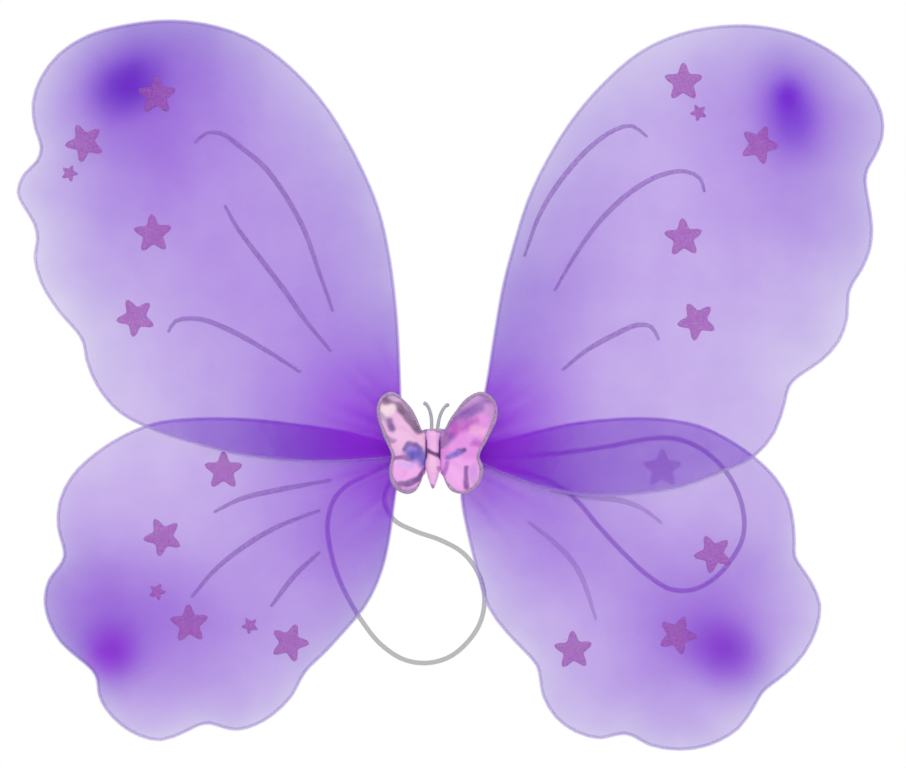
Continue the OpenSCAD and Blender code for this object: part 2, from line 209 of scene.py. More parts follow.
def filled_loop(loop, spacing):
    """Triangles that fill a closed 2-D line: (points, triangles). The line's points come first."""
    low, high = loop.min(axis=0), loop.max(axis=0)
    rows = np.arange(low[1], high[1], spacing * math.sqrt(3) / 2)
    grid = [
        (x, z)
        for k, z in enumerate(rows)
        for x in np.arange(low[0] + (k % 2) * spacing / 2, high[0], spacing)
    ]
    grid = np.array(grid)
    grid = grid[inside(grid, loop)]
    grid = grid[nearest(grid, loop) > 0.6 * spacing]
    points = [Vector(p) for p in np.vstack([loop, grid])]
    edges = [(i, (i + 1) % len(loop)) for i in range(len(loop))]
    found, _, faces, *_ = delaunay_2d_cdt(points, edges, [], 1, 1e-9)
    return np.array([tuple(p) for p in found]), [tuple(f) for f in faces]


def smoothstep(low, high, x):
    t = np.clip((x - low) / (high - low), 0, 1)
    return t * t * (3 - 2 * t)


# --- pieces ---


def piece(name, points, faces, mat, body=None, replaces=(), slot=None, smooth=True, **attributes):
    """A mesh object with its material, riding on a body. Attributes are one value per point."""
    mesh = bpy.data.meshes.new(name)
    mesh.from_pydata([tuple(map(float, p)) for p in points], [], faces)
    mesh.polygons.foreach_set("use_smooth", [smooth] * len(mesh.polygons))
    for key, values in attributes.items():
        values = np.asarray(values, np.float32)
        kind, field = ("FLOAT_VECTOR", "vector") if values.ndim == 2 else ("FLOAT", "value")
        mesh.attributes.new(key, kind, "POINT").data.foreach_set(field, values.ravel())
    mesh.materials.append(mat)
    mesh.update()
    made = bpy.data.objects.new(name, mesh)
    bpy.context.scene.collection.objects.link(made)
    if body:
        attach(made, body)
    if replaces:
        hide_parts(*replaces)
    return made


def tube(line, radius, sides, closed=False):
    """Points, faces, and each point's (distance along, share round, 0), of a tube round a 3-D line.
    radius is one number or one for each point of the line."""
    line = np.asarray(line, float)
    count = len(line)
    radius = np.broadcast_to(radius, count)
    if closed:
        tangent = np.roll(line, -1, axis=0) - np.roll(line, 1, axis=0)
    else:
        tangent = np.gradient(line, axis=0)
    tangent /= np.linalg.norm(tangent, axis=1)[:, None]
    up = np.array([0.0, 1.0, 0.0])
    if abs(tangent @ up).max() > 0.9:
        up = np.array([0.31, 0.22, 0.92])
    first = np.cross(tangent, up)
    first /= np.linalg.norm(first, axis=1)[:, None]
    second = np.cross(first, tangent)
    turns = 2 * math.pi * np.arange(sides) / sides
    rings = [
        line + radius[:, None] * (math.cos(t) * first + math.sin(t) * second) for t in turns
    ]
    points = np.stack(rings, axis=1).reshape(-1, 3)
    run = along(line)
    param = np.array([(s, t / (2 * math.pi), 0) for s in run for t in turns])
    faces = []
    for i in range(count if closed else count - 1):
        j = (i + 1) % count
        for k in range(sides):
            m = (k + 1) % sides
            faces.append((i * sides + k, i * sides + m, j * sides + m, j * sides + k))
    if not closed:
        faces.append(tuple(range(sides))[::-1])
        faces.append(tuple((count - 1) * sides + k for k in range(sides)))
    return points, faces, param


# --- materials ---


class Look:
    """A material being made: add() makes a node and joins its inputs."""

    def __init__(self, name):
        self.mat = bpy.data.materials.new(name)
        self.mat.use_nodes = True
        self.tree = self.mat.node_tree
        self.tree.nodes.clear()

    def add(self, kind, inputs=(), **settings):
        node = self.tree.nodes.new(kind)
        for key, value in settings.items():
            setattr(node, key, value)
        for key, value in dict(inputs).items():
            if isinstance(value, bpy.types.NodeSocket):
                self.tree.links.new(value, node.inputs[key])
            else:
                node.inputs[key].default_value = value
        return node

    def math(self, operation, *values, clamp=False):
        node = self.add(
            "ShaderNodeMath", dict(enumerate(values)), operation=operation, use_clamp=clamp
        )
        return node.outputs[0]

    def value(self, attribute):
        return self.add("ShaderNodeAttribute", attribute_name=attribute).outputs["Fac"]

    def vector(self, attribute):
        return self.add("ShaderNodeAttribute", attribute_name=attribute).outputs["Vector"]

    def object_place(self):
        return self.add("ShaderNodeTexCoord").outputs["Object"]

    def between(self, value, low, high, to_low=0.0, to_high=1.0, smooth=True):
        node = self.add(
            "ShaderNodeMapRange",
            {0: value, 1: low, 2: high, 3: to_low, 4: to_high},
            interpolation_type="SMOOTHSTEP" if smooth else "LINEAR",
        )
        return node.outputs[0]

    def noise(self, place, scale, detail=2.0, rough=0.5):
        node = self.add(
            "ShaderNodeTexNoise",
            {"Vector": place, "Scale": scale, "Detail": detail, "Roughness": rough},
        )
        return node.outputs["Fac"]

    def spot(self, place, middle, turn, reach):
        """1 in the middle of a soft oval, falling to 0 around it."""
        local = self.add(
            "ShaderNodeMapping",
            {
                "Vector": place, "Location": (middle[0], 0, middle[1]), "Rotation": (0, -turn, 0),
                "Scale": (reach[0], 1, reach[1]),
            },
            vector_type="TEXTURE",
        ).outputs[0]
        away = self.add("ShaderNodeVectorMath", {0: local}, operation="LENGTH").outputs[1]
        return self.math("EXPONENT", self.math("MULTIPLY", away, self.math("MULTIPLY", away, -1.0)))

    def mixed(self, share, a, b):
        node = self.add("ShaderNodeMix", {0: share, 6: a, 7: b}, data_type="RGBA")
        return node.outputs[2]

    def bump(self, height, strength, distance, normal=None):
        inputs = {"Height": height, "Strength": strength, "Distance": distance}
        if normal is not None:
            inputs["Normal"] = normal
        return self.add("ShaderNodeBump", inputs).outputs[0]

    def surface(self, shader):
        self.add("ShaderNodeOutputMaterial", {"Surface": shader})
        return self.mat

    def both(self, share, one, other):
        """Two shaders, with this share of the other one."""
        return self.add("ShaderNodeMixShader", {0: share, 1: one, 2: other}).outputs[0]

    def glow_through(self, colour):
        """Light from behind that comes out softly on the other side."""
        return self.add("ShaderNodeBsdfTranslucent", {"Color": colour}).outputs[0]

    def clear(self):
        return self.add("ShaderNodeBsdfTransparent").outputs[0]

    def principled(self, colour, roughness, **inputs):
        named = {key.replace("_", " "): value for key, value in inputs.items()}
        node = self.add(
            "ShaderNodeBsdfPrincipled", {"Base Color": colour, "Roughness": roughness, **named}
        )
        return node.outputs[0]


def rgb(red, green, blue):
    """A colour as seen, 0 to 255, as the numbers that a shader takes."""
    part = [c / 255 for c in (red, green, blue)]
    linear = [c / 12.92 if c <= 0.04045 else ((c + 0.055) / 1.055) ** 2.4 for c in part]
    return (*linear, 1.0)


NET_PITCH = 1.1 * MM
# How much of the light that a thread stops comes out of it softly behind
NET_GLOW = 0.45
# What the attribute rim holds where the net is stretched thin round the outside of a wire
OVER_WIRE = -0.6 * MM

# The colour of each wing's darkest spot, and how thickly the wing is dyed, as the share of light
# that one layer of net stops: everywhere, how much less at its rim, how far in that reaches, and
# then its soft spots: how much more, the middle in X and Z, the turn, and the reach along and
# across. Lengths are in millimetres. A least-squares program fitted these amounts and places to
# measured tones, and they were then rounded. Only three of the four amounts nearest a root, one
# turn and the smallest spot were set one by one.
DYE = {
    ("left", "upper"): (rgb(117, 0, 206), 0.27, 0.14, 24, [
        (0.43, (-12, 0), 0, (52, 52)), (0.25, (-12, 0), 1.9, (300, 130)),
        (0.26, (-164, 193), 0.6, (21, 16)), (0.27, (-153, 209), -0.25, (53, 95)),
    ]),
    ("right", "upper"): (rgb(126, 0, 214), 0.36, 0.13, 25, [
        (0.29, (12, 0), 0, (48, 48)), (0.28, (12, 0), 1.2, (148, 40)),
        (0.24, (187, 179), 0.2, (15, 22)), (0.18, (191, 171), 0.3, (51, 69)),
        (0.12, (185, 188), 0, (7, 8)),
    ]),
    ("left", "lower"): (rgb(147, 6, 216), 0.31, 0.09, 9, [
        (0.14, (-12, 0), 0, (35, 35)), (0.39, (-12, 0), -2.1, (95, 68)),
        (0.29, (-173, -109), 0, (15, 15)), (0.29, (-170, -88), -0.2, (66, 42)),
    ]),
    ("right", "lower"): (rgb(138, 3, 212), 0.35, 0.10, 12, [
        (0.15, (12, 0), 0, (33, 33)), (0.23, (12, 0), -0.65, (125, 37)),
        (0.30, (154, -108), 0.8, (17, 20)), (0.18, (143, -88), -0.8, (30, 52)),
    ]),
}


def net_look(name, core, base, rim_less, rim_reach, spots):
    """Sheer nylon net, airbrushed violet: the more dye, the less light comes through."""
    look = Look(name)
    place = look.vector("place")
    cover = look.between(look.noise(place, 30, 3), 0.25, 0.75, base - 0.02, base + 0.02)
    soft = []
    for more, middle, turn, reach in spots:
        soft.append(look.spot(place, [c * MM for c in middle], turn, [c * MM for c in reach]))
        cover = look.math("MULTIPLY_ADD", soft[-1], more, cover)
    rim = look.value("rim")
    axes = look.add("ShaderNodeSeparateXYZ", {0: place}).outputs
    away = look.between(look.math("ABSOLUTE", axes[2]), 10 * MM, 60 * MM, 0.35, 1.0)
    fade = look.math("EXPONENT", look.math("MULTIPLY", rim, -1 / (rim_reach * MM)))
    fade = look.math("MULTIPLY", fade, away)
    cover = look.math("MULTIPLY_ADD", fade, -rim_less, cover)
    cover = look.math("MULTIPLY", cover, look.between(rim, OVER_WIRE, 0.2 * MM, 0.3, 1.0))
    pleated = look.between(look.value("pleat"), -1, 1, 0.93, 1.07, smooth=False)
    cover = look.math("MULTIPLY", cover, pleated)

    turns = 2 * math.pi / NET_PITCH
    rising = look.math("MULTIPLY", look.math("ADD", axes[0], axes[2]), turns)
    falling = look.math("MULTIPLY", look.math("SUBTRACT", axes[0], axes[2]), turns)
    mesh = look.math("MULTIPLY", look.math("SINE", rising), look.math("SINE", falling))
    stops = look.math("MULTIPLY", cover, look.between(mesh, -1, 1, 0.9, 1.1), clamp=True)

    colour = look.mixed(fade, rgb(140, 26, 214), rgb(114, 44, 202))
    # Painted light: near the root the thread is given a lighter colour, standing in for a brighter
    # sheen there and for the light that the layers' shade on one another takes away
    colour = look.mixed(soft[0], colour, rgb(168, 46, 230))
    colour = look.mixed(look.between(soft[2], 0.1, 0.9), colour, core)
    thread = look.principled(
        colour, 0.6, Sheen_Weight=0.04, Sheen_Roughness=0.4, Specular_IOR_Level=0.12,
        Normal=look.bump(mesh, 0.3, 0.15 * MM),
    )
    thread = look.both(NET_GLOW, thread, look.glow_through(colour))
    return look.surface(look.both(stops, look.clear(), thread))


def glitter_look(name, main, second, flash, thin, thick):
    """Fine flakes of glitter in clear dried glue, a few of them bright. One coat of it stops
    between a thin and a thick share of the light."""
    look = Look(name)
    place = look.object_place()
    flakes = look.add(
        "ShaderNodeTexVoronoi", {"Vector": place, "Scale": 3200}, feature="F1"
    ).outputs
    share = look.add("ShaderNodeSeparateColor", {0: flakes["Color"]}).outputs
    lumps = look.noise(place, 420, 2)
    colour = look.mixed(look.between(share[0], 0.3, 0.75), main, second)
    colour = look.mixed(look.between(lumps, 0.3, 0.7, 0.0, 0.35), colour, second)
    colour = look.mixed(look.between(share[1], 0.90, 0.94, 0.0, 0.7), colour, flash)
    flake = look.principled(
        colour, 0.42, Metallic=0.1, Coat_Weight=0.15, Coat_Roughness=0.3,
        Specular_IOR_Level=0.3, Normal=look.bump(share[2], 0.6, 0.15 * MM),
    )
    flake = look.both(0.3, flake, look.glow_through(colour))
    stops = look.between(look.math("ADD", share[2], lumps), 0.6, 1.4, thin, thick)
    # Where a piece is marked as thinned, less of the light is stopped; on the right lower wing's
    # top star this is painted light that lifts the shade cast by the right upper wing's net
    stops = look.math("MULTIPLY", stops, look.math("SUBTRACT", 1.0, look.value("worn")))
    return look.surface(look.both(stops, look.clear(), flake))


def wire_look():
    """Wire in a thick milky plastic coat that lets part of the light by, with fine draw marks."""
    look = Look("coated_wire")
    marks = look.noise(look.object_place(), 900, 2)
    colour = look.mixed(look.between(marks, 0.3, 0.7), rgb(206, 194, 226), rgb(186, 174, 210))
    coat = look.principled(colour, 0.35, Normal=look.bump(marks, 0.2, 0.05 * MM))
    coat = look.both(0.4, coat, look.glow_through(rgb(226, 216, 240)))
    return look.surface(look.both(0.48, look.clear(), coat))


def thread_look(name, colour, dark, pitch):
    """Twisted thread: fine slanted ridges along each strand."""
    look = Look(name)
    run = look.add("ShaderNodeSeparateXYZ", {0: look.vector("run")}).outputs
    turn = look.math(
        "ADD",
        look.math("MULTIPLY", run[0], 2 * math.pi / pitch),
        look.math("MULTIPLY", run[1], 4 * math.pi),
    )
    ridge = look.between(look.math("SINE", turn), -1, 1)
    tone = look.mixed(ridge, dark, colour)
    return look.surface(
        look.principled(
            tone, 0.62, Sheen_Weight=0.3, Normal=look.bump(ridge, 0.5, 0.12 * MM)
        )
    )


def elastic_look():
    """Round clear elastic in an open braid: two families of slanted strands over and under. A
    good part of the light comes through."""
    look = Look("braided_elastic")
    run = look.add("ShaderNodeSeparateXYZ", {0: look.vector("run")}).outputs
    length = look.math("MULTIPLY", run[0], 2 * math.pi / (1.5 * MM))
    round_it = look.math("MULTIPLY", run[1], 2 * math.pi * 5)
    one = look.math("SINE", look.math("ADD", length, round_it))
    other = look.math("SINE", look.math("SUBTRACT", length, round_it))
    braid = look.between(look.math("MULTIPLY", one, other), -1, 1)
    colour = look.mixed(braid, rgb(76, 74, 86), rgb(122, 119, 132))
    cover = look.principled(
        colour, 0.7, Sheen_Weight=0.2, Normal=look.bump(braid, 0.8, 0.2 * MM)
    )
    cover = look.both(0.4, cover, look.glow_through(colour))
    return look.surface(look.both(look.between(braid, 0.2, 0.8, 0.30, 0.42), look.clear(), cover))


def felt_look():
    """Pressed felt: tangled fibres, slightly mottled."""
    look = Look("felt")
    place = look.object_place()
    stretched = look.add(
        "ShaderNodeMapping", {"Vector": place, "Scale": (900, 1500, 2600)}
    ).outputs[0]
    fibres = look.noise(stretched, 1.0, 5, 0.7)
    mottle = look.noise(place, 260, 3)
    colour = look.mixed(fibres, rgb(176, 148, 208), rgb(222, 204, 240))
    colour = look.mixed(look.between(mottle, 0.35, 0.7, 0, 0.4), colour, rgb(190, 162, 220))
    return look.surface(
        look.principled(colour, 0.92, Sheen_Weight=0.6, Normal=look.bump(fibres, 0.8, 0.25 * MM))
    )


def tape_look():
    """Woven tape, with its two thread directions and the edges of each turn."""
    look = Look("woven_tape")
    axes = look.add("ShaderNodeSeparateXYZ", {0: look.object_place()}).outputs
    turns = 2 * math.pi / (0.7 * MM)
    weave = look.math(
        "MULTIPLY",
        look.math("SINE", look.math("MULTIPLY", axes[0], turns)),
        look.math("SINE", look.math("MULTIPLY", axes[2], turns)),
    )
    slant = look.math("ADD", axes[0], look.math("MULTIPLY", axes[2], 0.25))
    lap = look.math("FRACT", look.math("MULTIPLY", slant, 1 / (4.5 * MM)))
    edge = look.between(lap, 0.0, 0.12)
    colour = look.mixed(edge, rgb(84, 44, 140), rgb(132, 86, 190))
    colour = look.mixed(look.between(weave, -1, 1, 0, 0.35), colour, rgb(160, 118, 214))
    height = look.math("ADD", look.math("MULTIPLY", weave, 0.3), edge)
    return look.surface(
        look.principled(colour, 0.66, Sheen_Weight=0.3, Normal=look.bump(height, 0.6, 0.2 * MM))
    )


def glue_look():
    """Cloudy hot-melt glue with small bubbles."""
    look = Look("hot_glue")
    place = look.object_place()
    bubbles = look.add(
        "ShaderNodeTexVoronoi", {"Vector": place, "Scale": 700}, feature="F1"
    ).outputs["Distance"]
    cloud = look.noise(place, 300, 3)
    colour = look.mixed(cloud, rgb(214, 208, 214), rgb(240, 238, 236))
    return look.surface(
        look.principled(
            colour, 0.22, Subsurface_Weight=0.3, Subsurface_Scale=1.5 * MM,
            Normal=look.bump(bubbles, 0.25, 0.3 * MM),
        )
    )


# The share of red, green and blue that the worn satin keeps of its dyes
SATIN_KEEPS = (0.79, 0.70, 0.84)


def satin_look():
    """Printed satin: the print, with painted highlights and a painted shade line among its marks,
    is stored on the piece, over a fine diagonal weave with a soft sheen and small pulled creases."""
    look = Look("printed_satin")
    place = look.vector("place")
    wash = look.noise(place, 160, 3)
    # The stored colour holds the print together with its painted highlights and painted shade line
    printed = look.add("ShaderNodeAttribute", attribute_name="print").outputs["Color"]
    colour = look.mixed(look.between(wash, 0.3, 0.75, 0, 0.16), printed, rgb(255, 236, 250))
    dull = look.add(
        "ShaderNodeVectorMath", {0: colour, 1: SATIN_KEEPS}, operation="MULTIPLY"
    ).outputs[0]
    axes = look.add("ShaderNodeSeparateXYZ", {0: place}).outputs
    weave = look.math(
        "SINE", look.math("MULTIPLY", look.math("ADD", axes[0], axes[2]), 2 * math.pi / (0.35 * MM))
    )
    creases = look.bump(look.noise(place, 330, 2, 0.4), 0.35, 0.6 * MM)
    return look.surface(
        look.principled(
            dull, 0.38, Sheen_Weight=0.15, Sheen_Roughness=0.3, Specular_IOR_Level=0.35,
            Normal=look.bump(weave, 0.2, 0.05 * MM, creases),
        )
    )


def antenna_look():
    look = Look("waxed_cord")
    lumps = look.noise(look.object_place(), 1200, 3)
    colour = look.mixed(lumps, rgb(134, 130, 142), rgb(176, 174, 184))
    bump = look.bump(lumps, 0.4, 0.15 * MM)
    return look.surface(look.principled(colour, 0.5, Sheen_Weight=0.2, Normal=bump))


# --- camera, light and floor ---


def make_camera():
    """Straight in front and far off, so that the wings are seen flat, as a product picture shows
    them. The framing is a little wider than the wings."""
    low, high = CAD_BOX
    margin = 1.0415
    distance = 2.2
    width = (high.x - low.x) * margin
    data = bpy.data.cameras.new("camera")
    data.sensor_width = 36
    data.lens = data.sensor_width * distance / width
    data.clip_end = 20
    camera = bpy.data.objects.new("camera", data)
    wings_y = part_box("left_upper_net")[0].y
    camera.location = (
        (low.x + high.x) / 2 + 1.4 * MM, wings_y - distance, (low.z + high.z) / 2 + 0.8 * MM
    )
    camera.rotation_euler = (math.pi / 2, 0, 0)
    bpy.context.scene.collection.objects.link(camera)
    bpy.context.scene.camera = camera


def add_area(name, place, size, power, target=(0, 0, 0.03)):
    data = bpy.data.lights.new(name, "AREA")
    data.shape = "DISK"
    data.size = size
    data.energy = power
    light = bpy.data.objects.new(name, data)
    light.location = place
    light.rotation_mode = "QUATERNION"
    light.rotation_quaternion = (Vector(target) - Vector(place)).to_track_quat("-Z", "Y")
    bpy.context.scene.collection.objects.link(light)


def make_studio():
    """White surround, soft lights and a pale floor below the wings."""
    world = bpy.data.worlds.new("white_surround")
    world.use_nodes = True
    background = world.node_tree.nodes["Background"]
    background.inputs["Color"].default_value = (1, 1, 1, 1)
    background.inputs["Strength"].default_value = 1.0
    bpy.context.scene.world = world
    add_area("key", (-0.8, -1.4, 1.2), 0.9, 6)
    add_area("fill", (1.1, -1.2, 0.4), 0.9, 3)
    add_area("back", (0.3, 1.3, 1.0), 0.9, 4)
    bpy.context.scene.view_settings.view_transform = "Standard"
    bpy.context.scene.cycles.transparent_max_bounces = 24

    look = Look("floor_paper")
    grain = look.noise(look.object_place(), 60, 3)
    tone = look.mixed(grain, rgb(234, 232, 236), rgb(241, 240, 242))
    low = CAD_BOX[0].z - 60 * MM
    radius, count = 0.45, 96
    turns = 2 * math.pi * np.arange(count) / count
    rim = [(radius * math.cos(t), radius * math.sin(t), low) for t in turns]
    floor = piece("floor", rim, [tuple(range(count))], look.surface(look.principled(tone, 0.9)))


# --- arm loops ---


def make_arm_loop(side, route, mat):
    """One elastic from where it leaves the pad's edge, round, and back under the pad."""
    flat = smooth_curve(route, 1.2 * MM)
    line = np.column_stack([flat[:, 0], np.full(len(flat), ELASTIC_Y), flat[:, 1]])
    points, faces, run = tube(line, ELASTIC_D / 2, 14)
    loop = piece(
        f"{side}_elastic", points, faces, mat, replaces=[f"{side}_arm_loop"], slot="elastic",
        run=run,
    )
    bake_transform(loop)


# --- wings ---

PLEAT_REACH = 85 * MM
PLEAT_HEIGHT = 0.75 * MM


def pleats(x, z, root_sign, seed):
    """Heights from -1 to 1 of the gathers that spread from a wing's root."""
    turn = np.arctan2(z, root_sign * x)
    waves = np.sin(31 * turn + seed) + 0.7 * np.sin(47 * turn + 2.3 * seed + 1)
    return (waves + 0.5 * np.sin(19 * turn)) / 2.2


def make_sleeve(side, level, mat, seed):
    """Both layers of one net sleeve, stretched over its wire and gathered at its root."""
    sign = SIDES[side]
    node = f"{side}_{level}_net"
    low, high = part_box(node)
    half = (high.y - low.y) / 2
    middle = (high.y + low.y) / 2
    edge = face_loops(node, (0, -1, 0))[0][:, [0, 2]]
    edge = rounded_off(resampled(anticlockwise(edge), 2.2 * MM, closed=True), 2)
    normal = outward(edge)
    wire_line = edge - half * normal
    flat, triangles = filled_loop(wire_line, 2.6 * MM)
    ring = len(edge)

    gap = nearest(flat, resampled(edge, 0.8 * MM, closed=True)) - half
    gap[:ring] = 0
    reach = np.hypot(flat[:, 0], flat[:, 1])
    pull = half - (half - 0.8 * MM) * smoothstep(0, 14 * MM, gap)
    fold = pleats(flat[:, 0], flat[:, 1], sign, seed)
    fold *= smoothstep(PLEAT_REACH, 20 * MM, reach) * smoothstep(0, 6 * MM, gap) * PLEAT_HEIGHT
    front = np.column_stack([flat[:, 0], middle - pull + fold, flat[:, 1]])
    back = np.column_stack([flat[:, 0], middle + pull + fold, flat[:, 1]])
    count = len(flat)
    steps = 6
    bands = []
    for k in range(1, steps):
        turn = math.pi * k / steps
        out = wire_line + half * math.sin(turn) * normal
        y = np.full(ring, middle - half * math.cos(turn))
        bands.append(np.column_stack([out[:, 0], y, out[:, 1]]))
    points = np.vstack([front, back, *bands])
    first = triangles[0]
    a, b, c = (flat[i] for i in first)
    turned = (b - a)[0] * (c - a)[1] - (b - a)[1] * (c - a)[0] > 0
    # Front triangles look along -Y: anticlockwise in X and Z is seen from -Y
    faces = [f if turned else f[::-1] for f in triangles]
    faces += [tuple(count + i for i in (f[::-1] if turned else f)) for f in triangles]
    rows = [list(range(ring))]
    rows += [[2 * count + k * ring + i for i in range(ring)] for k in range(steps - 1)]
    rows += [[count + i for i in range(ring)]]
    for upper, lower in zip(rows, rows[1:]):
        for i in range(ring):
            j = (i + 1) % ring
            faces.append((upper[i], lower[i], lower[j], upper[j]))
    bare = np.zeros(ring * (steps - 1))
    rim = np.concatenate([gap, gap, bare + OVER_WIRE])
    pleat = np.concatenate([fold, fold, bare]) / PLEAT_HEIGHT
    place = points * [1, 0, 1]
    sleeve = piece(
        f"{side}_{level}_sleeve", points, faces, mat, f"{side}_{level}_wing", [node],
        "nylon_net", rim=rim, place=place, pleat=pleat,
    )
    return flat, front[:, 1]


def raised(loop, spacing, height, shoulder):
    """A domed solid with a flat underside over a closed 2-D line: (2-D points, heights, faces)."""
    loop = anticlockwise(loop)
    flat, triangles = filled_loop(loop, spacing)
    ring, count = len(loop), len(flat)
    gap = nearest(flat, resampled(loop, spacing / 3, closed=True))
    gap[:ring] = 0
    top = height * np.sqrt(1 - (1 - np.clip(gap / shoulder, 0, 1)) ** 2)
    faces = [tuple(t) for t in triangles]
    faces += [tuple(count + i for i in t[::-1]) for t in triangles]
    for i in range(ring):
        j = (i + 1) % ring
        faces.append((i, count + i, count + j, j))
    heights = np.concatenate([0.25 * height + top * 0.75, np.zeros(count)])
    return np.vstack([flat, flat]), heights, faces


def make_glitter(side, level, kind, mat, slot, front, spacing, height, shoulder):
    """All the stars, or all the veins, of one wing, standing on its net."""
    node = f"{side}_{level}_{kind}"
    flat_net, net_y = front
    all_points, all_faces = [], []
    for loop in face_loops(node, (0, -1, 0)):
        loop = resampled(loop[:, [0, 2]], spacing, closed=True)
        points, heights, faces = raised(loop, spacing, height, shoulder)
        nearest_net = [int(np.argmin(((flat_net - p) ** 2).sum(axis=1))) for p in points]
        y = net_y[nearest_net] + 0.05 * MM
        smooth_y = np.full(len(points), y.mean()) if kind == "stars" else y
        base = len(all_points)
        all_points += [(p[0], yy - h, p[1]) for p, yy, h in zip(points, smooth_y, heights)]
        all_faces += [tuple(base + i for i in f) for f in faces]
    # Of the right lower wing's glitter, the top star and the veins are thinned. On the top star
    # this is painted light: it lifts the shade that the right upper wing's net casts there.
    points = np.array(all_points)
    worn = np.zeros(len(points))
    if (side, level) == ("right", "lower"):
        worn += 0.4 if kind == "veins" else 0.6 * (points[:, 2] > -20 * MM)
    piece(
        f"{side}_{level}_{kind}_glitter", points, all_faces, mat, f"{side}_{level}_wing", [node],
        slot, worn=worn,
    )


def make_neck_tie(side, level, mat):
    """Four turns of thread round a sleeve's neck."""
    node = f"{side}_{level}_tie"
    low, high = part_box(node)
    centre = (low + high) / 2
    radius = 0.24 * MM
    across, up = (high.y - low.y) / 2 - radius, (high.z - low.z) / 2 - radius
    per_turn, turns = 40, 4
    total = per_turn * turns
    line = []
    for i in range(total + 1):
        t = 2 * math.pi * i / per_turn
        y = math.copysign(abs(math.cos(t)) ** 0.55, math.cos(t)) * across
        z = math.copysign(abs(math.sin(t)) ** 0.55, math.sin(t)) * up
        x = low.x + radius + (high.x - low.x - 2 * radius) * i / total
        line.append((x, centre.y + y, centre.z + z))
    points, faces, run = tube(line, radius, 8)
    piece(
        f"{side}_{level}_binding_thread", points, faces, mat, f"{side}_{level}_wing", [node],
        "thread", run=run,
    )


def make_gather(side, level, mat):
    """The gathered end of a sleeve, from its neck to the tape."""
    sign = SIDES[side]
    low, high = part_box(f"{side}_{level}_net")
    middle = (low.y + high.y) / 2
    tape_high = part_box("binding_tape")[1]
    start_x = sign * (tape_high.x - 1.5 * MM)
    end_x = sign * 12.0 * MM
    rows, around = 14, 96
    points, faces = [], []
    for i in range(rows + 1):
        t = i / rows
        x = start_x + (end_x - start_x) * t
        waist = 1 - 0.35 * math.sin(math.pi * t)
        for k in range(around):
            turn = 2 * math.pi * k / around
            crumple = 1 + 0.16 * math.sin(14 * turn + 2 * t) + 0.06 * math.sin(23 * turn + 1)
            y = 1.15 * MM * waist * crumple * math.cos(turn)
            z = 3.3 * MM * waist * crumple * math.sin(turn)
            points.append((x, middle + y, z))
    for i in range(rows):
        for k in range(around):
            m = (k + 1) % around
            here, there = i * around, (i + 1) * around
            faces.append((here + k, here + m, there + m, there + k))
    place = np.array(points) * [1, 0, 1]
    gather = piece(
        f"{side}_{level}_gather", points, faces, mat, slot="nylon_net",
        rim=np.full(len(points), 0.06), place=place, pleat=np.zeros(len(points)),
    )
    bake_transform(gather)


# --- middle ---


def make_pad(mat, thread_mat):
    """Felt pad with a soft edge and a whipped seam round it."""
    edge = anticlockwise(face_loops("back_pad", (0, 1, 0))[0][:, [0, 2]])
    loop = rounded_off(resampled(edge, 0.7 * MM, closed=True), 1)
    low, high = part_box("back_pad")
    depth = high.y - low.y
    points, heights, faces = raised(loop, 0.9 * MM, depth, 1.0 * MM)
    place = np.column_stack([points[:, 0], low.y + heights, points[:, 1]])
    faces = [f[::-1] for f in faces]
    pad = piece("felt_pad", place, faces, mat, "hub", ["back_pad"], "felt")
    inner = resampled(loop - 1.6 * MM * outward(loop), 2.6 * MM, closed=True)
    normal = outward(inner)
    all_points, all_faces, all_run = [], [], []
    for p, n in zip(inner, normal):
        slant = np.array([n[1], -n[0]]) * 0.5 * MM
        way = [
            (-0.3, -0.5 * MM), (0.1, -0.05 * MM), (0.9, -0.02 * MM), (1.6, -0.35 * MM),
            (1.85, -1.2 * MM),
        ]
        line = []
        for out, y in way:
            at = p + out * MM * n + slant * (out / 1.6)
            line.append((at[0], high.y + y, at[1]))
        line = smooth_curve(line, 0.25 * MM)
        points, faces, run = tube(line, 0.17 * MM, 6)
        base = len(all_points)
        all_points += list(points)
        all_faces += [tuple(base + i for i in f) for f in faces]
        all_run += list(run)
    piece(
        "pad_seam", all_points, all_faces, thread_mat, "hub", slot="thread", run=np.array(all_run)
    )
